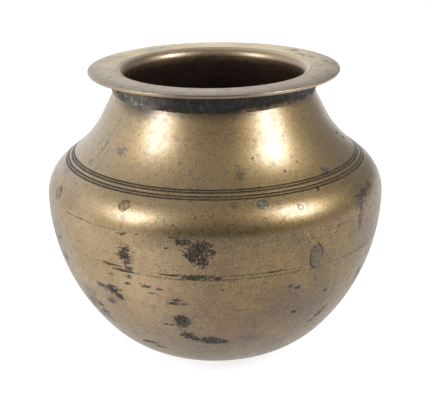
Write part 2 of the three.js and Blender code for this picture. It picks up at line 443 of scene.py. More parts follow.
class Nodes:
    """Short calls that build the nodes of one tree."""

    def __init__(self, tree):
        self.tree = tree

    def node(self, kind, **settings):
        """A new node with some settings."""
        made = self.tree.nodes.new(kind)
        for key, value in settings.items():
            setattr(made, key, value)
        return made

    def feed(self, socket, value):
        """Links a socket to another one, or sets its number or colour."""
        if isinstance(value, bpy.types.NodeSocket):
            self.tree.links.new(value, socket)
        elif socket.type == "RGBA":
            socket.default_value = (*value, 1)
        else:
            socket.default_value = value

    def math(self, operation, a, b=0.0, c=0.0, clamp=False):
        """The result of an operation on up to three values."""
        made = self.node("ShaderNodeMath", operation=operation, use_clamp=clamp)
        for socket, value in zip(made.inputs, (a, b, c)):
            self.feed(socket, value)
        return made.outputs[0]

    def span(self, value, low, high, to_low=0.0, to_high=1.0):
        """A soft step, from one level at the low value to another at the high one."""
        made = self.node("ShaderNodeMapRange", interpolation_type="SMOOTHSTEP")
        self.feed(made.inputs["Value"], value)
        for name, number in zip(("From Min", "From Max", "To Min", "To Max"),
                                (low, high, to_low, to_high)):
            self.feed(made.inputs[name], number)
        return made.outputs[0]


class Look(Nodes):
    """A node material in the pot's own coordinates. Angles are in degrees from the front."""

    def __init__(self, name):
        self.material = bpy.data.materials.new(name)
        self.material.use_nodes = True
        super().__init__(self.material.node_tree)
        self.shader = self.tree.nodes["Principled BSDF"]
        self.coords = self.node("ShaderNodeTexCoord").outputs["Object"]
        split = self.node("ShaderNodeSeparateXYZ")
        self.feed(split.inputs[0], self.coords)
        self.x, self.y, z = split.outputs
        angle = self.math("ARCTAN2", self.x, self.math("MULTIPLY", self.y, -1.0))
        self.angle = self.math("DIVIDE", angle, DEGREE)
        squares = self.math("MULTIPLY_ADD", self.x, self.x, self.math("MULTIPLY", self.y, self.y))
        self.radius = self.math("DIVIDE", self.math("SQRT", squares), MM)
        self.height = self.math("DIVIDE", z, MM)

    def finish(self, inputs):
        """Feeds the inputs of the shader by name, and gives the material."""
        for name, value in inputs.items():
            self.feed(self.shader.inputs[name], value)
        return self.material

    def scaled(self, x, y, z, turn=(0, 0, 0)):
        """Coordinates that are stretched, for noise with a direction."""
        made = self.node("ShaderNodeMapping")
        self.feed(made.inputs["Vector"], self.coords)
        made.inputs["Rotation"].default_value = turn
        made.inputs["Scale"].default_value = (x, y, z)
        return made.outputs[0]

    def noise(self, scale, detail=3.0, roughness=0.55, vector=None):
        """Fractal noise around 0.5."""
        made = self.node("ShaderNodeTexNoise")
        self.feed(made.inputs["Vector"], vector or self.coords)
        made.inputs["Scale"].default_value = scale
        made.inputs["Detail"].default_value = detail
        made.inputs["Roughness"].default_value = roughness
        return made.outputs["Fac"]

    def mix(self, amount, a, b):
        """A colour between a and b, which is b where the amount is 1."""
        made = self.node("ShaderNodeMix", data_type="RGBA")
        self.feed(made.inputs["Factor"], amount)
        for name, colour in (("A", a), ("B", b)):
            self.feed(made.inputs[name], colour)
        return made.outputs["Result"]

    def cover(self, colour, mask, strength, tint):
        """A colour with a tint over it where a mask is 1, at some strength."""
        return self.mix(self.math("MULTIPLY", mask, strength), colour, tint)

    def bump(self, height, strength, distance):
        """A relief too fine for the mesh. The distance is in metres."""
        made = self.node("ShaderNodeBump")
        self.feed(made.inputs["Height"], height)
        made.inputs["Strength"].default_value = strength
        made.inputs["Distance"].default_value = distance
        return made.outputs[0]

    def dots(self, per_metre, size, share):
        """Small round dots of random size, in a share of the cells of a random grid."""
        cells = self.node("ShaderNodeTexVoronoi")
        self.feed(cells.inputs["Vector"], self.coords)
        cells.inputs["Scale"].default_value = per_metre
        chance = self.node("ShaderNodeSeparateColor")
        self.feed(chance.inputs[0], cells.outputs["Color"])
        reach = self.math("MULTIPLY", self.span(chance.outputs[0], 1 - share, 1), size * per_metre)
        return self.span(self.math("SUBTRACT", reach, cells.outputs["Distance"]), 0, DOT_SOFTNESS)

    def band(self, height, half_width, soft):
        """1 near a height and 0 away from it."""
        off = self.math("ABSOLUTE", self.math("SUBTRACT", self.height, height))
        return self.span(off, half_width, half_width + soft, 1, 0)

    def near(self, angle, half_width, end, most=1.0, least=0.0):
        """Most within a half width of an angle, and least past an end."""
        off = self.math("ABSOLUTE", self.math("SUBTRACT", self.angle, angle))
        return self.span(off, half_width, end, most, least)

    def facing_axis(self):
        """1 on faces that look towards the axis of the pot, 0 on the outer skin."""
        flat = self.node("ShaderNodeCombineXYZ")
        self.feed(flat.inputs["X"], self.x)
        self.feed(flat.inputs["Y"], self.y)
        straight = self.node("ShaderNodeVectorMath", operation="NORMALIZE")
        self.feed(straight.inputs[0], flat.outputs[0])
        dot = self.node("ShaderNodeVectorMath", operation="DOT_PRODUCT")
        self.feed(dot.inputs[0], straight.outputs[0])
        self.feed(dot.inputs[1], self.node("ShaderNodeNewGeometry").outputs["True Normal"])
        return self.span(dot.outputs["Value"], -0.1, -0.5)


def spot_group():
    """Node group: 1 inside a ragged oval at a place on the wall, 0 outside it."""
    tree = bpy.data.node_groups.new("wall_spot", "ShaderNodeTree")
    names = ("Angle", "Radius", "Height", "Grain", "At angle", "At height", "Half width",
             "Half height", "Lean", "Ragged", "Sharp")
    for name in names:
        tree.interface.new_socket(name, in_out="INPUT", socket_type="NodeSocketFloat")
    tree.interface.new_socket("Mask", in_out="OUTPUT", socket_type="NodeSocketFloat")
    nodes = Nodes(tree)
    given = nodes.node("NodeGroupInput").outputs
    result = nodes.node("NodeGroupOutput")
    turn = nodes.math("SUBTRACT", given["Angle"], given["At angle"])
    upward = nodes.math("SUBTRACT", given["Height"], given["At height"])
    sideways = nodes.math("MULTIPLY", nodes.math("MULTIPLY", turn, DEGREE), given["Radius"])
    straight = nodes.math("SUBTRACT", sideways, nodes.math("MULTIPLY", given["Lean"], upward))
    a = nodes.math("DIVIDE", straight, given["Half width"])
    b = nodes.math("DIVIDE", upward, given["Half height"])
    far = nodes.math("SQRT", nodes.math("MULTIPLY_ADD", a, a, nodes.math("MULTIPLY", b, b)))
    stray = nodes.math("MULTIPLY", nodes.math("SUBTRACT", given["Grain"], 0.5), given["Ragged"])
    level = nodes.math("ADD", nodes.math("SUBTRACT", 1.0, far), stray)
    nodes.feed(result.inputs[0], nodes.math("MULTIPLY", level, given["Sharp"], clamp=True))
    return tree


SPOT = spot_group()


def spots(look, places, grain, ragged, sharp, upward=None):
    """The strongest of many spots, as a mask. Upward is the height, or the radius on the rim."""
    strongest = 0.0
    upward = upward or look.height
    for place in places:
        made = look.node("ShaderNodeGroup", node_tree=SPOT)
        lean = place[4] if len(place) > 4 else 0.0
        values = (look.angle, look.radius, upward, grain, *place[:4], lean, ragged, sharp)
        for socket, value in zip(made.inputs, values):
            look.feed(socket, value)
        strongest = look.math("MAXIMUM", made.outputs[0], strongest)
    return strongest


# Marks on the wall. Each is an angle from the front in degrees, a height, a half width and a half
# height in millimetres, and for some a sideways lean for each millimetre upward.
BLACK_PATCHES = (
    # The large patch at the front, with its arm to the upper left
    (-5.4, 76.8, 5.6, 4.2),
    (-7.6, 75.2, 3.0, 3.0),
    (-6.8, 73.4, 2.6, 2.2),
    (-4.4, 72.4, 3.0, 2.8),
    (-3.4, 79.6, 3.4, 2.0),
    (-9.6, 80.6, 3.6, 1.6),
    (-1.0, 76.4, 1.3, 1.8),
    (-14.7, 77.4, 1.0, 0.6),
    # The lower left side and the marks below the front patch
    (-12.0, 40.2, 3.3, 3.3),
    (-10.9, 30.8, 3.2, 2.2),
    (-2.4, 28.1, 4.8, 2.4),
    (2.4, 27.3, 2.8, 1.6),
)
BLACK_STREAKS = (
    (-12.6, 82.2, 3.2, 0.55),
    (-10.4, 81.0, 3.0, 0.8),
    (-13.1, 87.2, 0.8, 0.6),
    # Smears along the joint and the column of marks to the left
    (-6.4, 64.5, 8.6, 1.5),
    (-14.0, 64.8, 4.6, 0.6),
    (-0.2, 64.1, 3.0, 0.8),
    (-24.6, 82.0, 0.8, 0.4),
    (-22.9, 57.4, 2.8, 1.0),
    (-18.2, 57.0, 1.6, 0.6),
    (-64.5, 66.1, 2.4, 0.9),
    (-63.7, 56.7, 2.6, 1.6),
    (-29.2, 71.8, 1.9, 3.4),
    (-29.6, 80.9, 2.6, 0.5),
    (-12.9, 52.0, 2.6, 0.9),
    (-14.6, 50.0, 3.0, 0.9),
    (-10.8, 50.2, 2.4, 0.8),
    (-47.4, 34.2, 3.2, 1.3),
    (-48.5, 38.4, 2.8, 1.1),
    (-8.2, 28.8, 2.4, 1.2),
    (-36.2, 51.6, 3.9, 3.0),
    (-34.9, 49.2, 2.6, 1.8),
    (-30.5, 20.8, 6.0, 1.2),
    (-27.1, 18.6, 4.0, 0.8),
    # The right side
    (18.6, 65.3, 4.6, 0.6),
    (24.2, 56.4, 1.2, 0.8),
    (27.0, 54.8, 1.9, 0.8),
    (40.1, 48.6, 1.7, 0.9),
    (28.3, 41.0, 2.0, 1.4),
    (42.2, 33.6, 2.0, 4.0, 0.9),
    (61.8, 46.5, 1.6, 4.6, 0.3),
    (2.0, 58.3, 0.8, 0.6),
    # The neck
    (79.5, 107.4, 0.9, 1.6, -0.8),
    (82.5, 104.6, 1.2, 1.6, -1.0),
    (14.1, 114.0, 0.45, 0.5),
    (16.4, 109.1, 0.45, 0.45),
    (28.9, 103.1, 0.5, 0.5),
    (36.2, 105.5, 0.55, 0.5),
    (38.3, 95.6, 0.9, 0.8),
    (-6.2, 90.3, 0.65, 0.5),
    (-4.2, 90.9, 0.65, 0.4),
)
PURPLE_STREAKS = (
    # The column of marks at the left, down from the shoulder
    (-29.1, 71.0, 4.2, 5.8),
    (-28.2, 65.4, 2.4, 1.6),
    (-28.8, 60.8, 1.8, 1.4),
    (-29.6, 57.2, 1.8, 1.0),
    (-28.9, 81.4, 1.5, 0.8),
    (-36.0, 65.4, 7.0, 0.8),
    (-31.0, 63.8, 6.5, 0.9),
    # The lower left side
    (-41.6, 52.0, 4.4, 1.6),
    (-37.6, 51.0, 6.2, 3.4),
    (-34.9, 48.6, 3.4, 2.4),
    (-39.7, 44.1, 3.0, 2.2),
    (-55.0, 36.5, 5.6, 6.6),
    (-50.0, 31.2, 5.4, 3.4),
    (-12.3, 39.8, 4.4, 4.6),
    (-11.1, 31.2, 3.6, 2.8),
    (-17.6, 37.2, 3.6, 0.6),
    (-2.0, 27.8, 7.0, 2.6),
    # The smear down the right shoulder
    (64.0, 89.2, 3.8, 1.8),
    (58.5, 88.4, 4.0, 2.4),
    (54.0, 83.8, 3.2, 5.6),
    (53.2, 77.2, 1.8, 6.0),
)
BROWN_STAINS = (
    (6.1, 94.0, 2.0, 1.6),
    (10.0, 103.6, 2.6, 2.6),
    (-58.2, 108.0, 1.4, 5.6, 0.12),
    (-61.1, 101.5, 1.9, 1.2),
    (-45.8, 108.7, 3.6, 2.8),
    (55.5, 87.0, 6.0, 5.4),
    (-21.2, 54.2, 2.8, 0.8),
    (-12.8, 51.4, 3.6, 2.6),
    (-6.9, 43.3, 3.3, 0.6),
    (-52.0, 42.0, 7.0, 6.0),
    (13.9, 35.9, 1.8, 1.0),
    (12.9, 28.8, 5.7, 3.6),
    (18.1, 27.4, 3.4, 1.2),
    (-36.0, 60.0, 3.4, 0.8),
    (-66.0, 88.0, 3.0, 3.0),
    (8.0, 47.0, 3.0, 0.6),
    (31.0, 70.5, 1.0, 4.0, 0.1),
    (33.5, 57.0, 0.6, 5.0),
)
# Short scratches with old tarnish in them, around the right shoulder
SCRATCHES = (
    (21.5, 88.0, 0.5, 1.6, 1.0),
    (25.7, 87.5, 0.45, 1.3, -0.9),
    (27.2, 86.3, 0.4, 0.9, -0.8),
    (24.0, 80.6, 0.5, 1.2, 1.0),
    (30.3, 79.6, 0.5, 3.4, -0.75),
    (41.4, 78.9, 0.7, 1.8, 0.5),
    (37.6, 79.1, 0.7, 0.7),
    (-30.2, 84.6, 0.22, 3.0, 0.1),
)
# Thin dark lines along the joint and around the belly
FINE_LINES = (
    (-35.0, 65.2, 10.0, 0.5),
    (-30.0, 63.5, 14.0, 0.55),
    (-6.0, 63.1, 24.0, 0.45),
    (18.0, 63.5, 22.0, 0.36),
    (13.0, 65.2, 18.0, 0.34),
    (52.0, 63.4, 22.0, 0.4),
    (-50.0, 82.2, 13.0, 0.4),
    (-48.0, 82.4, 6.0, 0.6),
    (-35.0, 82.1, 11.0, 0.28),
    (43.0, 79.9, 13.0, 0.26),
    (36.0, 77.4, 16.0, 0.2),
)
GREEN_FLECKS = (
    (-75.0, 97.4, 4.6, 2.4),
    (-71.0, 95.0, 3.6, 1.4),
    (47.2, 99.8, 2.2, 1.6),
)
RED_TARNISH = (
    (-57.0, 88.4, 9.0, 5.0),
    (46.0, 64.3, 10.0, 1.6),
    (-12.4, 51.0, 7.0, 6.0),
    (38.0, 84.0, 8.0, 5.0),
    (8.0, 33.0, 16.0, 7.0),
    (-30.0, 88.0, 5.0, 3.0),
    (-38.0, 45.0, 9.0, 6.0),
)
# Ring shaped marks, and the share of each that its hole takes
RING_MARKS = (
    (15.2, 88.2, 1.5, 1.2),
    (28.3, 91.1, 1.7, 1.3),
)
RING_HOLE = 0.5

# Number of stains on the side that the photograph doesn't show
BACK_STAIN_COUNT = 22

# Dirt around the plugs, as a width in millimetres
PLUG_DIRT = {
    "core_pin_left": 0.3,
    "core_pin_front_left": 0.1,
    "core_pin_front_right": 0.5,
    "oval_plug": 0.7,
}


def back_stains(count):
    """Stains for the side that the photograph doesn't show, at random places."""
    pick = random.Random(11)
    places = []
    for _ in range(count):
        angle, height = pick.uniform(96, 264), pick.uniform(22, 112)
        places.append((angle - 360 if angle > 180 else angle, height,
                       pick.uniform(0.8, 4.4), pick.uniform(0.7, 3.2)))
    return places


def plug_outlines():
    """Places of the plugs on the wall, each larger than the plug by its rim of dirt."""
    places = []
    for name, azimuth, turn, radius in CORE_PINS:
        height = shifted(shoulder_centre, SHOULDER_ARC, turn * DEGREE)[1]
        reach = radius + PLUG_DIRT[name]
        places.append((azimuth, height, reach, reach * math.cos(turn * DEGREE)))
    margin = PLUG_DIRT["oval_plug"]
    places.append((OVAL_AZIMUTH, seam_bottom + OVAL_ABOVE_SEAM, OVAL_HALF_WIDTH + margin,
                   OVAL_HALF_HEIGHT + margin, math.tan(OVAL_LEAN)))
    return places


def groove_dirt(look):
    """Dark dirt in the four turned grooves, with weaker stretches."""
    dirt = 0.0
    for start in GROOVE_STARTS:
        middle = shifted(band_start, start + GROOVE_WIDTH / 2, SHOULDER_TURN + UP)
        dirt = look.math("MAXIMUM", look.band(middle[1], GROOVE_DIRT_HALF, GROOVE_DIRT_SOFT), dirt)
    whole = look.span(look.noise(90, 2.0), 0.28, 0.45, 0.85, 1)
    return look.math("MULTIPLY", dirt, whole)


def crust_edge(look):
    """Height of the lower edge of the crust on the neck, at every angle."""
    ramp = look.node("ShaderNodeValToRGB")
    look.feed(ramp.inputs["Fac"], look.math("MULTIPLY_ADD", look.angle, 1 / 360, 0.5))

    def level(height):
        """A height as the ramp keeps it, in its alpha."""
        return (1, 1, 1, (height - CRUST_LOWEST) / CRUST_SPAN)

    stops = ramp.color_ramp.elements
    stops[0].color = level(CRUST_EDGES[0][1])
    stops[1].color = level(CRUST_EDGES[-1][1])
    for angle, height in CRUST_EDGES:
        stops.new(angle / 360 + 0.5).color = level(height)
    return look.math("MULTIPLY_ADD", ramp.outputs["Alpha"], CRUST_SPAN, CRUST_LOWEST)


def above_crust_edge(look, grain):
    """Height above the ragged lower edge of the crust."""
    stray = look.math("MULTIPLY", look.math("SUBTRACT", grain, 0.5), CRUST_RAGGED)
    return look.math("ADD", look.math("SUBTRACT", look.height, crust_edge(look)), stray)


def crust_left(look):
    """1 at the left of the front, where the crust is thinner and browner, and 0 elsewhere."""
    return look.near(CRUST_LEFT, 8, 24)


def neck_crust_and_shade(look, grain):
    """Two masks on the neck under the rim: a black crust, and a brown fade below, partly stain and
    partly painted shade.
    """
    over = above_crust_edge(look, grain)
    outside = look.span(look.math("SUBTRACT", look.radius, throat_radius), *CRUST_OFF_THROAT)
    crust = look.math("MULTIPLY", look.span(over, -0.5, 1.0), outside)
    crust = look.math("MULTIPLY", crust, look.math("MULTIPLY_ADD", crust_left(look), -0.4, 1.0))
    stain = look.math("MULTIPLY", look.span(over, -STAIN_AND_SHADE_DEPTH, 0.6), outside)
    return crust, stain


def brass_with_shade_belt(look, cloud, fine, grit, lines):
    """Colour of the metal: darker low down, paler where worn, fine mottle, painted shade across
    the belly's front.
    """
    low = look.span(look.math("MULTIPLY_ADD", cloud, TONE_STRAY, look.height), *LOWER_TONE)
    colour = look.mix(low, BRASS_HIGH, BRASS_LOW)
    colour = look.mix(look.span(look.height, *BROWN_TONE, 0, 0.68), colour, BRASS_BROWN)
    worn = look.near(WORN_ANGLE, 8, 42, 0.92)
    worn = look.math("MULTIPLY", worn, look.span(look.height, 24, 58, 0.35, 1))
    worn = look.math("MULTIPLY", worn, look.span(look.height, 100, 80, 0.2, 1))
    colour = look.mix(worn, colour, BRASS_WORN)
    # Painted shade: a darker olive band across the front of the belly
    shade_belt = look.math("MULTIPLY", look.band(SHADE_BELT_HEIGHT, 2, 5), look.near(SHADE_BELT_ANGLE, 12, 45, 0.75))
    colour = look.mix(shade_belt, colour, SHADE_BELT_OLIVE)
    colour = look.mix(look.span(cloud, 0.42, 0.66, 0, 0.5), colour, BRASS_OLIVE)
    calm = look.math("MULTIPLY_ADD", worn, -0.6, 1.0)
    mottled = look.math("MULTIPLY", look.span(fine, 0.5, 0.74, 0, MOTTLE), calm)
    gritty = look.math("MULTIPLY", look.span(grit, 0.52, 0.7, 0, GRIT_DARK), calm)
    colour = look.mix(mottled, colour, BRASS_BROWN)
    colour = look.mix(look.span(lines, 0.55, 0.75, 0, 0.3), colour, BRASS_BROWN)
    colour = look.mix(gritty, colour, GRIT_BROWN)
    return look.mix(look.span(grit, 0.46, 0.3, 0, GRIT_PALE), colour, BRASS_PALE)


def tarnished(look, colour, grain, crumbs):
    """A colour with the soft red, brown and green stains over it."""
    red = spots(look, RED_TARNISH, look.noise(70, 3.0), 1.6, 0.9)
    colour = look.cover(colour, red, RED_COVER, BRASS_RED)
    brown = spots(look, BROWN_STAINS, grain, 8.0, 1.5)
    colour = look.cover(colour, brown, BROWN_COVER, STAIN_AND_SHADE_BROWN)
    green = spots(look, GREEN_FLECKS, crumbs, 4.0, 3.0)
    return look.cover(colour, green, GREEN_COVER, FLECK_GREEN)


def black_marks(look, grain):
    """Mask of the black patches, streaks and fine lines."""
    lobes = look.noise(980, 1.0, 0.5)
    black = spots(look, BLACK_PATCHES, lobes, 2.6, 6.0)
    streaked = spots(look, (*BLACK_STREAKS, *back_stains(BACK_STAIN_COUNT)), grain, 6.0, 2.4)
    thin = spots(look, FINE_LINES, grain, 5.0, 1.2)
    black = look.math("MAXIMUM", black, streaked)
    return look.math("MAXIMUM", black, look.math("MULTIPLY", thin, LINE_COVER))


def with_dirt(look, black, crumbs, crust):
    """A black mask with ring marks, dirt around plugs, in grooves and in pits, and the crust."""
    holes = [(a, b, RING_HOLE * c, RING_HOLE * d) for a, b, c, d in RING_MARKS]
    ring = look.math("SUBTRACT", spots(look, RING_MARKS, crumbs, 0.6, 6.0),
                     spots(look, holes, crumbs, 0.6, 6.0), clamp=True)
    outline = spots(look, plug_outlines(), crumbs, 0.7, 9.0)
    layers = ((ring, RING_COVER), (outline, OUTLINE_COVER), (groove_dirt(look), GROOVE_COVER),
              (look.dots(*WALL_PITS), WALL_PIT_COVER), (crust, CRUST_COVER))
    for mask, strength in layers:
        black = look.math("MAXIMUM", black, look.math("MULTIPLY", mask, strength))
    return black


def wall_finish(look, fine, lines, black, dull, inside, lip):
    """Roughness, relief and hard patina of the wall, duller over dirt and inside."""
    scratch = look.noise(1.0, 2.0, 0.5, look.scaled(60, 900, 90, (0.4, 0.9, 0.3)))
    rough = look.math("ADD", look.span(fine, 0.3, 0.75, WALL_ROUGH - 0.04, WALL_ROUGH + 0.07),
                      look.span(lines, 0.5, 0.75, 0, 0.06))
    relief = look.math("MULTIPLY_ADD", lines, 0.4, look.math("MULTIPLY", black, -0.8))
    relief = look.math("MULTIPLY_ADD", look.span(scratch, 0.66, 0.76), -0.25, relief)
    relief = look.math("MULTIPLY_ADD", fine, 0.35, relief)
    coat = look.span(look.height, *COAT_RISE, COAT_LOW, COAT_HIGH)
    coat = look.math("MULTIPLY", coat, look.math("MULTIPLY_ADD", dull, -0.9, 1.0, clamp=True))
    deep = look.math("MULTIPLY", inside, look.math("MULTIPLY_ADD", lip, -0.6, 1.0))
    return {
        "Roughness": look.math("MULTIPLY_ADD", black, 0.2, rough),
        "Metallic": look.math("MULTIPLY_ADD", dull, -0.7, 1.0, clamp=True),
        "Normal": look.bump(relief, 0.5, 0.00011),
        "Coat Weight": look.math("MULTIPLY", coat, look.math("MULTIPLY_ADD", deep, -0.6, 1.0)),
        "Coat Roughness": look.span(fine, 0.3, 0.75, COAT_ROUGH, COAT_ROUGH + 0.1),
        "Coat IOR": COAT_IOR,
        "Specular IOR Level": look.math("MULTIPLY_ADD", dull, -0.35, 0.5),
    }


def wall_brass_shade_and_sheen(name):
    """Aged turned brass: lathe lines, brown mottle, pits, stains, dirt, a dull inside, and painted
    shade and sheen.
    """
    look = Look(name)
    cloud = look.noise(30, 4.0, 0.6)
    fine = look.noise(330, 5.0, 0.62)
    grit = look.noise(1200, 3.0, 0.6)
    lines = look.noise(1.0, 4.0, 0.65, look.scaled(14, 14, 1100))
    streaks = look.noise(1.0, 3.0, 0.65, look.scaled(230, 230, 1700))
    crumbs = look.noise(560, 3.0, 0.6)
    grain = look.math("MULTIPLY_ADD", streaks, 0.5, look.math("MULTIPLY", crumbs, 0.28))
    grain = look.math("MULTIPLY_ADD", grit, 0.22, grain)

    colour = tarnished(look, brass_with_shade_belt(look, cloud, fine, grit, lines), grain, crumbs)
    crust, crust_stain_and_shade = neck_crust_and_shade(look, grain)
    # Brown fade under the rim, partly stain and partly painted shade
    colour = look.cover(colour, crust_stain_and_shade, CRUST_STAIN_AND_SHADE_COVER, STAIN_AND_SHADE_BROWN)
    purple = spots(look, PURPLE_STREAKS, grain, 6.0, 1.9)
    scratched = spots(look, SCRATCHES, crumbs, 1.5, 2.2)
    black = black_marks(look, grain)
    colour = look.cover(colour, scratched, SCRATCH_COVER, STAIN_AND_SHADE_BROWN)
    colour = look.cover(colour, purple, PURPLE_COVER, STAIN_PURPLE)
    black = with_dirt(look, black, crumbs, crust)

    inside = look.facing_axis()
    lip = look.span(look.height, lip_centre[1] - LIP_FADE, lip_centre[1])
    lip = look.math("MULTIPLY", inside, lip)
    # Painted sheen: the top of the lip is paler
    top = look.span(look.height, ledge_height + 0.3, ledge_height + 1.1)
    colour = look.cover(colour, inside, INSIDE_COVER, INSIDE_DULL)
    colour = look.cover(colour, lip, LIP_COVER, LIP_BRIGHT)
    colour = look.cover(colour, top, LIP_TOP_SHEEN_COVER, LIP_TOP_SHEEN)
    outside = look.math("SUBTRACT", 1.0, inside)
    black = look.math("MULTIPLY", black, outside)
    dirt = look.mix(look.span(look.noise(900, 2.0), 0.46, 0.66, 0, 0.9), STAIN_BLACK, STAIN_GREY)
    dull = look.math("MAXIMUM", black, look.math("MULTIPLY", purple, 0.7))
    dull = look.math("MAXIMUM", dull, look.math("MULTIPLY", crust_stain_and_shade, 0.5))
    dull = look.math("MULTIPLY", dull, outside)
    look.finish({"Base Color": look.cover(colour, black, BLACK_COVER, dirt)})
    return look.finish(wall_finish(look, fine, lines, black, dull, inside, lip))


def rim_edge(look, colour, back):
    """Colour of the rim near its edge: painted shade, browner outward and on the edge in front,
    and pale at the edge beside the front.
    """
    from_edge = look.math("SUBTRACT", look.radius, rim_radius)
    # Painted shade: browner toward the outer edge, at the front only
    outward = look.math("MULTIPLY", look.span(from_edge, -9, -1.5), look.math("SUBTRACT", 1, back))
    colour = look.cover(colour, outward, RIM_OUTWARD_SHADE_COVER, RIM_BROWN_AND_SHADE)
    edge = look.span(from_edge, -0.9, -0.2)
    front = look.near(0, 12, 34)
    pale = look.math("MULTIPLY", edge, look.math("MULTIPLY_ADD", front, -0.5, 0.5))
    colour = look.mix(pale, colour, BRASS_PALE)
    # Painted shade: brown on the edge at the front
    return look.cover(colour, look.math("MULTIPLY", edge, front), RIM_EDGE_SHADE_COVER, RIM_BROWN_AND_SHADE)


def rim_brass():
    """Worn brass of the flat rim: brown painted shade at the front, a pale painted reflection at
    the back, grey specks.
    """
    look = Look("rim_brass")
    cloud = look.noise(55, 4.0, 0.6)
    fine = look.noise(420, 5.0, 0.62)
    turned_lines = look.noise(1.0, 3.0, 0.6, look.scaled(500, 500, 500))
    # Painted shade at the front, and a painted reflection at the back: paler, with less mottle
    middle = look.math("MULTIPLY_ADD", look.math("ABSOLUTE", look.x), -0.5, look.y)
    back = look.span(look.math("MULTIPLY_ADD", cloud, 0.02, middle), -0.07, 0.05)
    colour = look.mix(back, RIM_FRONT_SHADE, RIM_BACK_SHEEN)
    share = look.math("MULTIPLY_ADD", back, -0.6, 1.0)
    clouded = look.math("MULTIPLY", look.span(cloud, 0.45, 0.7, 0, 0.5), share)
    mottled = look.math("MULTIPLY", look.span(fine, 0.5, 0.72, 0, 0.6), share)
    colour = look.mix(clouded, colour, RIM_BROWN_AND_SHADE)
    colour = look.mix(mottled, colour, RIM_BROWN_AND_SHADE)
    shades = spots(look, RIM_SHADES, cloud, 1.5, 1.2, look.radius)
    colour = look.cover(colour, shades, RIM_SHADE_COVER, RIM_BROWN_AND_SHADE)
    specks = spots(look, RIM_SPECKS, look.noise(260, 3.0), 3.4, 1.1, look.radius)
    specks = look.math("MULTIPLY", specks, look.span(cloud, 0.1, 0.4))
    colour = look.cover(colour, specks, RIM_SPECK_COVER, RIM_SPECK)
    colour = look.mix(spots(look, RIM_MARKS, fine, 2.0, 2.0, look.radius), colour, STAIN_BLACK)
    pits = look.dots(*RIM_PITS)
    colour = look.cover(colour, pits, RIM_PIT_COVER, STAIN_BLACK)
    relief = look.math("MULTIPLY_ADD", pits, -1.0, look.math("ADD", fine, turned_lines))
    return look.finish({
        "Base Color": rim_edge(look, colour, back),
        "Roughness": look.span(fine, 0.3, 0.75, 0.36, 0.52),
        "Metallic": 1.0,
        "Normal": look.bump(relief, 0.3, 0.0001),
        "Coat Weight": 0.5,
        "Coat Roughness": 0.4,
    })


def solder():
    """Rough dark solder crust, browner and with pale specks at the left, and brown metal below."""
    look = Look("solder")
    fine = look.noise(420, 5.0, 0.7)
    colour = look.mix(look.span(fine, 0.51, 0.62), SOLDER_DARK, SOLDER_GREY)
    brown = look.span(look.noise(260, 3.0), 0.4, 0.6, 0.45, 1)
    colour = look.mix(look.math("MULTIPLY", brown, crust_left(look)), colour, SOLDER_BROWN)
    specks = look.span(look.noise(560, 2.0), 0.52, 0.6)
    specks = look.math("MULTIPLY", specks, look.near(SOLDER_SPECKS_ANGLE, 5, 16, 0.9, 0.1))
    colour = look.mix(specks, colour, SOLDER_SPECK)
    over = above_crust_edge(look, fine)
    crust = look.span(over, -0.6, 1.0)
    # Next to the crust the metal takes the neck's brown fade, partly stain and partly painted
    # shade
    below = look.mix(look.span(over, -3.0, -0.2), SOLDER_BELOW, STAIN_AND_SHADE_BROWN)
    return look.finish({
        "Base Color": look.mix(crust, below, colour),
        "Metallic": look.math("MULTIPLY_ADD", crust, -0.5, 0.8),
        "Roughness": look.span(fine, 0.3, 0.7, 0.45, 0.75),
        "Normal": look.bump(look.math("MULTIPLY", fine, crust), 0.9, 0.0006),
    })


def plug_metal(name, pale, dark):
    """Metal of a plug, with a fine mottle between a pale and a dark colour."""
    look = Look(name)
    fine = look.noise(600, 4.0, 0.6)
    cloud = look.noise(240, 2.0)
    colour = look.mix(look.span(fine, 0.38, 0.66), pale, dark)
    return look.finish({
        "Base Color": look.mix(look.span(cloud, 0.52, 0.66, 0, 0.6), colour, dark),
        "Metallic": 0.9,
        "Roughness": look.span(fine, 0.3, 0.7, 0.36, 0.55),
        "Normal": look.bump(fine, 0.5, 0.00012),
        "Coat Weight": 0.6,
        "Coat Roughness": 0.4,
    })


def dress(piece, material, node):
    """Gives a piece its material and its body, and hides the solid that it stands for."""
    piece.data.materials.append(material)
    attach(piece, "root")
    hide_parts(node)


def seam_notch(height):
    """Bottom of the hairline notch at an edge of the brazed joint."""
    depth = SEAM_NOTCH_DEPTH
    return shifted(lower_centre, LOWER_ARC - depth, lower_angle(height, depth))


def make_lower_bowl(material):
    """Lower shell with its foot."""
    foot = [(0, FOOT_DISH_DEPTH), (FOOT_DISH_RADIUS - FOOT_DISH_DEPTH, FOOT_DISH_DEPTH),
            (FOOT_DISH_RADIUS, 0)]
    outer = arc(base_centre, BASE_ARC, -foot_turn, -BASE_TURN, 24)[:-1]
    top = lower_angle(seam_bottom - SEAM_NOTCH_WIDTH, 0)
    outer += arc(lower_centre, LOWER_ARC, -BASE_TURN, top, 40)
    seam = seam_notch(seam_bottom)
    socket = lower_skin(seam_bottom, tongue_bottom, SKIRT_DEPTH, 4)
    inner = arc(lower_centre, LOWER_ARC - WALL, lower_angle(tongue_bottom, WALL), -BASE_TURN, 20)
    inner = inner[:-1] + arc(base_centre, BASE_ARC - WALL, -BASE_TURN, -UP, 16)
    points = foot + outer + [seam] + socket + inner + [(0, base_centre[1] - BASE_ARC + WALL)]
    dress(turned("lower_bowl_skin", points, sway=WALL_SWAY), material, "lower_bowl")


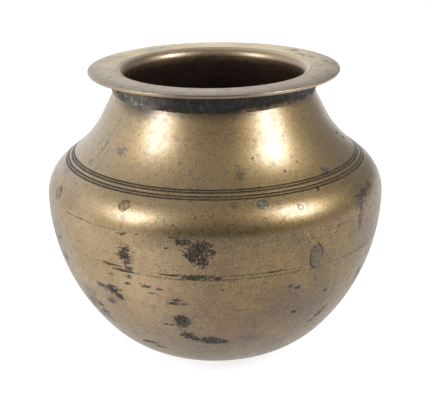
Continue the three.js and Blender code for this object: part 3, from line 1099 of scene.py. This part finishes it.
def make_upper_shell(material):
    """Upper shell with its grooves and the lip inside the rim."""
    outer = [seam_notch(seam_top)]
    outer += lower_skin(seam_top + SEAM_NOTCH_WIDTH, belly_height, 0, 14)[:-1]
    outer += upper_skin(0, grooves(), 24, 20)
    lip = arc(flare_centre, LIP_FLARE, NECK_LEAN + math.pi, UP, 10)
    lip += [(flare_centre[0], ledge_height), (lip_radius, ledge_height)]
    lip += arc(lip_centre, LIP_ROUND, UP + LIP_BREAK, math.pi, 16) + [(throat_radius, cone_end[1])]
    tongue_tip = tongue_bottom + JOINT_GAP
    inner = upper_skin(WALL, [], 10, 10)[::-1]
    inner += lower_skin(belly_height, tongue_tip, WALL, 10)[1:]
    inner += lower_skin(tongue_tip, seam_top, TONGUE_DEPTH, 4)
    shell = turned("upper_shell_skin", outer + lip + inner, sway=WALL_SWAY)
    dress(shell, material, "upper_shell")


def make_rim(material):
    """Flat rim with its rounded edge."""
    edge = rim_radius - RIM_EDGE_ROUND
    low, high = ledge_height + RIM_EDGE_ROUND, rim_height - RIM_EDGE_ROUND
    bore = rim_bore - RIM_CLOSER
    corner = (bore + RIM_BORE_ROUND, rim_height - RIM_BORE_ROUND)
    points = [(bore, ledge_height)]
    points += arc((edge, low), RIM_EDGE_ROUND, -UP, 0, 6)
    points += arc((edge, high), RIM_EDGE_ROUND, 0, UP, 6)
    points += arc(corner, RIM_BORE_ROUND, UP, math.pi, 3)
    dress(turned("rim_skin", points, sway=RIM_SWAY), material, "rim_flange")


def make_solder(material):
    """Lumpy solder in the corner under the rim."""
    foot = shifted(cone_end, -SOLDER_DROP, NECK_LEAN + UP)
    foot_in = shifted(foot, JOINT_GAP - SOLDER_CLOSER, NECK_LEAN)
    foot_out = shifted(foot_in, SOLDER_FOOT, NECK_LEAN)
    corner = shifted(cone_end, JOINT_GAP + SOLDER_FILL, NECK_LEAN)
    reach = flare_centre[0] + SOLDER_REACH - SOLDER_TRIM
    inside = LIP_FLARE - JOINT_GAP
    points = [foot_in] + fillet(foot_out, corner, (reach, ledge_height - SOLDER_EDGE), 14)
    points += [(reach, ledge_height), (flare_centre[0] + JOINT_GAP, ledge_height)]
    points += arc(flare_centre, inside, UP, NECK_LEAN + math.pi, 6)
    piece = turned("solder_skin", points, rough=SOLDER_LUMPS, rough_scale=SOLDER_LUMP_SCALE,
                   edge_angle=80)
    dress(piece, material, "rim_solder")


def make_braze(material):
    """Ring of brazing metal, with a fine notch at each edge."""
    points = [seam_notch(seam_bottom)]
    points += lower_skin(seam_bottom + SEAM_NOTCH_WIDTH, seam_top - SEAM_NOTCH_WIDTH, 0, 3)
    points += [seam_notch(seam_top)]
    points += lower_skin(seam_top, seam_bottom, SKIRT_DEPTH, 2)
    dress(turned("braze_skin", points, sway=WALL_SWAY), material, "belly_braze")


def make_plug(name, azimuth, turn, half_width, half_height, lean, material):
    """A plug that follows the wall, a hair proud of it, with a rounded edge."""
    arc_centre, arc_radius = shoulder_centre, SHOULDER_ARC
    if turn < 0:
        arc_centre, arc_radius = lower_centre, LOWER_ARC
    mesh = bmesh.new()
    rings = []
    for share, proud in PLUG_SECTION:
        ring = []
        for i in range(PLUG_SIDES if share else 1):
            angle = 2 * math.pi * i / PLUG_SIDES
            a, b = half_width * share * math.cos(angle), half_height * share * math.sin(angle)
            across = a * math.cos(lean) - b * math.sin(lean)
            along = a * math.sin(lean) + b * math.cos(lean)
            r, z = shifted(arc_centre, arc_radius + proud, turn + along / arc_radius)
            around = azimuth * DEGREE + across / r
            side, front = r * math.sin(around), -r * math.cos(around)
            ring.append(mesh.verts.new((side * MM, front * MM, z * MM)))
        rings.append(ring)
    for inner, outer in zip(rings, rings[1:]):
        for i in range(PLUG_SIDES):
            j = (i + 1) % PLUG_SIDES
            if len(inner) == 1:
                mesh.faces.new((inner[0], outer[i], outer[j]))
            else:
                mesh.faces.new((inner[i], outer[i], outer[j], inner[j]))
    mesh.faces.new(rings[-1])
    bmesh.ops.recalc_face_normals(mesh, faces=mesh.faces)
    dress(finished(name + "_skin", mesh, 60), material, name)


def direction(azimuth, elevation):
    """Unit vector at an angle around from the front, and at an angle above the floor."""
    level = math.cos(elevation)
    return Vector((math.sin(azimuth) * level, -math.cos(azimuth) * level, math.sin(elevation)))


def make_camera():
    """Camera at the photograph's angle, distance and focal length."""
    data = bpy.data.cameras.new("camera")
    data.sensor_width = SENSOR_WIDTH
    data.lens = FOCAL_PIXELS / IMAGE_WIDTH * SENSOR_WIDTH
    data.clip_start = CAMERA_NEAR
    camera = bpy.data.objects.new("camera", data)
    place = CAMERA_TARGET + CAMERA_DISTANCE * direction(0, CAMERA_HEIGHT_ANGLE)
    tilt = Euler((UP - CAMERA_HEIGHT_ANGLE, 0, 0)).to_matrix()
    turn = tilt @ Matrix.Rotation(CAMERA_ROLL, 3, "Z")
    camera.matrix_world = Matrix.Translation(place) @ turn.to_4x4()
    bpy.context.scene.collection.objects.link(camera)
    bpy.context.scene.camera = camera


def seen_directly(nodes):
    """1 for camera, glossy and transmission rays, which see the pale background."""
    rays = nodes.node("ShaderNodeLightPath").outputs
    mirrored = nodes.math("MAXIMUM", rays["Is Glossy Ray"], rays["Is Transmission Ray"])
    return nodes.math("MAXIMUM", rays["Is Camera Ray"], mirrored)


def make_floor():
    """White floor that keeps the pot's soft shadow."""
    bpy.ops.mesh.primitive_plane_add(size=FLOOR_SIZE)
    floor = bpy.context.object
    floor.name = "floor"
    material = bpy.data.materials.new("floor_white")
    material.use_nodes = True
    nodes = Nodes(material.node_tree)
    sockets = nodes.tree.nodes["Principled BSDF"].inputs
    nodes.feed(sockets["Base Color"], FLOOR_GREY)
    nodes.feed(sockets["Roughness"], FLOOR_ROUGH)
    nodes.feed(sockets["Specular IOR Level"], 0.0)
    nodes.feed(sockets["Emission Color"], WHITE)
    glow = nodes.math("MULTIPLY", seen_directly(nodes), FLOOR_GLOW)
    nodes.feed(sockets["Emission Strength"], glow)
    floor.data.materials.append(material)


def make_world():
    """White surroundings behind the pot, a dimmer ceiling and a dim room at the camera's side."""
    world = bpy.data.worlds.new("studio")
    bpy.context.scene.world = world
    world.use_nodes = True
    nodes = Nodes(world.node_tree)
    split = nodes.node("ShaderNodeSeparateXYZ")
    nodes.feed(split.inputs[0], nodes.node("ShaderNodeTexCoord").outputs["Generated"])
    rightward, backward, upward = split.outputs
    front = nodes.span(upward, *CEILING_FADE_FRONT, WORLD_FRONT, WORLD_CEILING)
    back = nodes.span(upward, *CEILING_FADE_BACK, WORLD_BACK, WORLD_CEILING)
    around = nodes.span(backward, *DEPTH_FADE, front, back)
    side = nodes.span(rightward, *SIDE_FADE, WORLD_LEFT, WORLD_RIGHT)
    room = nodes.math("MULTIPLY", around, side)
    camera_ray = nodes.node("ShaderNodeLightPath").outputs["Is Camera Ray"]
    background = nodes.tree.nodes["Background"].inputs
    nodes.feed(background["Color"], WHITE)
    nodes.feed(background["Strength"], nodes.math("MAXIMUM", room, camera_ray))


def make_lamp(name, azimuth, elevation, width, power):
    """Softbox that faces the middle of the pot."""
    data = bpy.data.lights.new(name, "AREA")
    data.shape = "RECTANGLE"
    data.size = width
    data.size_y = LAMP_HEIGHT
    data.energy = power
    lamp = bpy.data.objects.new(name, data)
    away = direction(azimuth * DEGREE, elevation * DEGREE)
    lamp.location = CAMERA_TARGET + LAMP_DISTANCE * away
    lamp.rotation_euler = away.to_track_quat("Z", "Y").to_euler()
    bpy.context.scene.collection.objects.link(lamp)


make_camera()
make_floor()
make_world()
make_lamp("softbox_left", LEFT_AZIMUTH, LEFT_ELEVATION, LEFT_WIDTH, LEFT_POWER)
make_lamp("softbox_right", RIGHT_AZIMUTH, RIGHT_ELEVATION, RIGHT_WIDTH, RIGHT_POWER)

brass = wall_brass_shade_and_sheen("old_brass")
make_lower_bowl(brass)
make_upper_shell(brass)
make_rim(rim_brass())
make_solder(solder())
make_braze(wall_brass_shade_and_sheen("braze_brass"))
pin_metals = (
    plug_metal("pin_brown", PIN_BRASS, PIN_DARK),
    plug_metal("pin_brass", PIN_BRASS, BRASS_BROWN),
    plug_metal("pin_grey", PIN_GREY, PIN_DARK),
)
for (pin_name, pin_azimuth, pin_turn, pin_radius), pin_metal in zip(CORE_PINS, pin_metals):
    make_plug(pin_name, pin_azimuth, pin_turn * DEGREE, pin_radius, pin_radius, 0, pin_metal)
oval_turn = lower_angle(seam_bottom + OVAL_ABOVE_SEAM, 0)
make_plug("oval_plug", OVAL_AZIMUTH, oval_turn, OVAL_HALF_WIDTH, OVAL_HALF_HEIGHT, OVAL_LEAN,
          plug_metal("oval_metal", PLUG_OLIVE, PLUG_OLIVE_DARK))

bpy.context.scene.view_settings.view_transform = "Standard"
